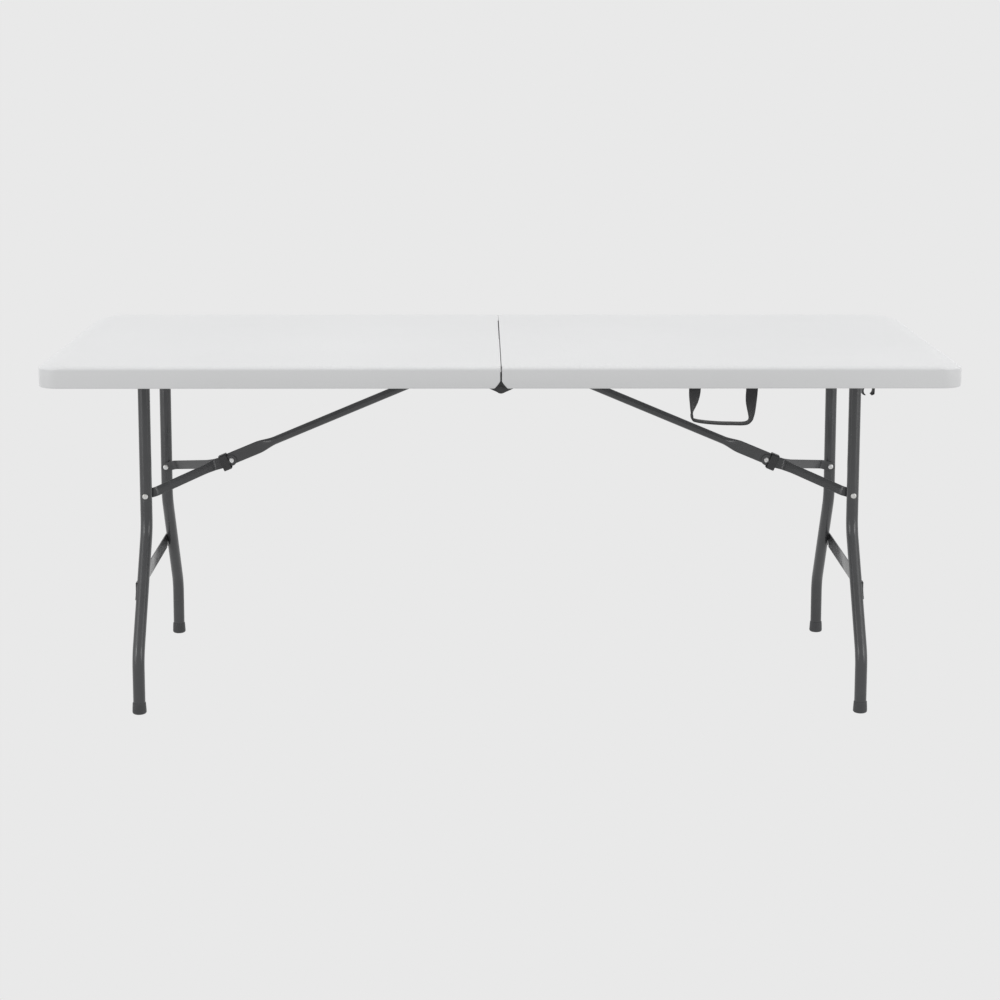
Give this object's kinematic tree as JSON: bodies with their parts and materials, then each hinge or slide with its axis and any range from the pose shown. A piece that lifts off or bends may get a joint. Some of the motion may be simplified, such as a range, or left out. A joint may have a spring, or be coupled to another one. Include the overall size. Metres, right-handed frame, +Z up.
{
  "type": "folding table",
  "caption": "Rectangular folding table: two white moulded halves hinged in the middle, grey steel wishbone legs with locking braces and a webbing carry handle.",
  "frame": {"origin": "on the floor, under the middle of the tabletop", "axes": "+X along the table towards the half with the handle and clip, +Y towards the far long edge (the handle hangs on the -Y edge), +Z up"},
  "size_m": [1.829, 0.762, 0.737],
  "materials": {
    "tabletop": "fine-textured white HDPE",
    "grey_steel": "charcoal powder coat, satin",
    "black_steel": "black powder coat",
    "zinc": "bright zinc plate",
    "foot_cap": "matt moulded",
    "webbing": "woven polypropylene webbing",
    "black_nylon": "moulded nylon"
  },
  "bodies": {
    "left_half": {"left_top": "tabletop", "left_brace_bracket": "black_steel", "left_brace_pin": "zinc", "left_rail_near": "grey_steel", "left_pivot_bush_near": "black_nylon", "left_hinge_leaf_near": "black_steel", "left_bracket_screw_near": "zinc", "left_rail_far": "grey_steel", "left_pivot_bush_far": "black_nylon", "left_hinge_leaf_far": "black_steel", "left_bracket_screw_far": "zinc", "hinge_pin_near": "black_steel", "hinge_pin_far": "black_steel"},
    "left_leg_set": {"left_pivot_bar": "grey_steel", "left_leg_strap": "grey_steel", "left_leg_near": "grey_steel", "left_leg_bolt_near": "zinc", "left_foot_near": "foot_cap", "left_leg_far": "grey_steel", "left_leg_bolt_far": "zinc", "left_foot_far": "foot_cap"},
    "left_brace_link": {"left_brace_link": "grey_steel", "left_knee_rivet": "zinc"},
    "left_lock_ring": {"left_lock_ring": "black_steel"},
    "left_yoke": {"left_yoke_near": "grey_steel", "left_tab_rivet_near": "zinc", "left_yoke_far": "grey_steel", "left_tab_rivet_far": "zinc"},
    "right_half": {"right_top": "tabletop", "right_brace_bracket": "black_steel", "right_brace_pin": "zinc", "right_rail_near": "grey_steel", "right_pivot_bush_near": "black_nylon", "right_hinge_leaf_near": "black_steel", "right_bracket_screw_near": "zinc", "right_rail_far": "grey_steel", "right_pivot_bush_far": "black_nylon", "right_hinge_leaf_far": "black_steel", "right_bracket_screw_far": "zinc", "handle_anchor_left": "black_nylon", "handle_anchor_right": "black_nylon"},
    "right_leg_set": {"right_pivot_bar": "grey_steel", "right_leg_strap": "grey_steel", "right_leg_near": "grey_steel", "right_leg_bolt_near": "zinc", "right_foot_near": "foot_cap", "right_leg_far": "grey_steel", "right_leg_bolt_far": "zinc", "right_foot_far": "foot_cap"},
    "right_brace_link": {"right_brace_link": "grey_steel", "right_knee_rivet": "zinc"},
    "right_lock_ring": {"right_lock_ring": "black_steel"},
    "right_yoke": {"right_yoke_near": "grey_steel", "right_tab_rivet_near": "zinc", "right_yoke_far": "grey_steel", "right_tab_rivet_far": "zinc"},
    "handle": {"handle_strap": "webbing"},
    "bar_clip": {"bar_clip": "black_nylon"}
  },
  "joints": [
    {"name": "centre_fold", "type": "hinge", "parent": "left_half", "child": "right_half", "pos_m": [0, 0, 0.692], "axis": [0, 1, 0], "range_deg": [0, 90]},
    {"name": "left_leg_fold", "type": "hinge", "parent": "left_half", "child": "left_leg_set", "pos_m": [-0.737, 0, 0.7075], "axis": [0, -1, 0], "range_deg": [0, 90.7]},
    {"name": "left_brace_swing", "type": "hinge", "parent": "left_half", "child": "left_brace_link", "pos_m": [-0.03, 0, 0.7063], "axis": [0, 1, 0], "range_deg": [0, 23.2]},
    {"name": "left_knee", "type": "hinge", "parent": "left_brace_link", "child": "left_yoke", "pos_m": [-0.5783, 0, 0.4725], "axis": [0, -1, 0], "range_deg": [0, 187.9]},
    {"name": "left_ring_slide", "type": "slide", "parent": "left_brace_link", "child": "left_lock_ring", "axis": [0.9221, 0, 0.3869], "range_m": [0, 0.45]},
    {"name": "right_leg_fold", "type": "hinge", "parent": "right_half", "child": "right_leg_set", "pos_m": [0.737, 0, 0.7075], "axis": [0, 1, 0], "range_deg": [0, 90.7]},
    {"name": "right_brace_swing", "type": "hinge", "parent": "right_half", "child": "right_brace_link", "pos_m": [0.03, 0, 0.7063], "axis": [0, -1, 0], "range_deg": [0, 23.2]},
    {"name": "right_knee", "type": "hinge", "parent": "right_brace_link", "child": "right_yoke", "pos_m": [0.5783, 0, 0.4725], "axis": [0, 1, 0], "range_deg": [0, 187.9]},
    {"name": "right_ring_slide", "type": "slide", "parent": "right_brace_link", "child": "right_lock_ring", "axis": [-0.9221, 0, 0.3869], "range_m": [0, 0.45]},
    {"name": "handle_swing", "type": "hinge", "parent": "right_half", "child": "handle", "pos_m": [0.439, -0.369, 0.69], "axis": [-1, 0, 0], "range_deg": [-75, 70]},
    {"name": "clip_swing", "type": "hinge", "parent": "right_half", "child": "bar_clip", "pos_m": [0.737, -0.3, 0.7075], "axis": [0, 1, 0], "range_deg": [-90, 90]}
  ],
  "couplings": [
    {"joint": "left_brace_swing", "follows": "left_leg_fold", "ratio": 0.25578},
    {"joint": "left_knee", "follows": "left_leg_fold", "ratio": 2.0717},
    {"joint": "left_ring_slide", "follows": "left_leg_fold", "m_per_rad": 0.28426},
    {"joint": "right_brace_swing", "follows": "right_leg_fold", "ratio": 0.25578},
    {"joint": "right_knee", "follows": "right_leg_fold", "ratio": 2.0717},
    {"joint": "right_ring_slide", "follows": "right_leg_fold", "m_per_rad": 0.28426}
  ]
}
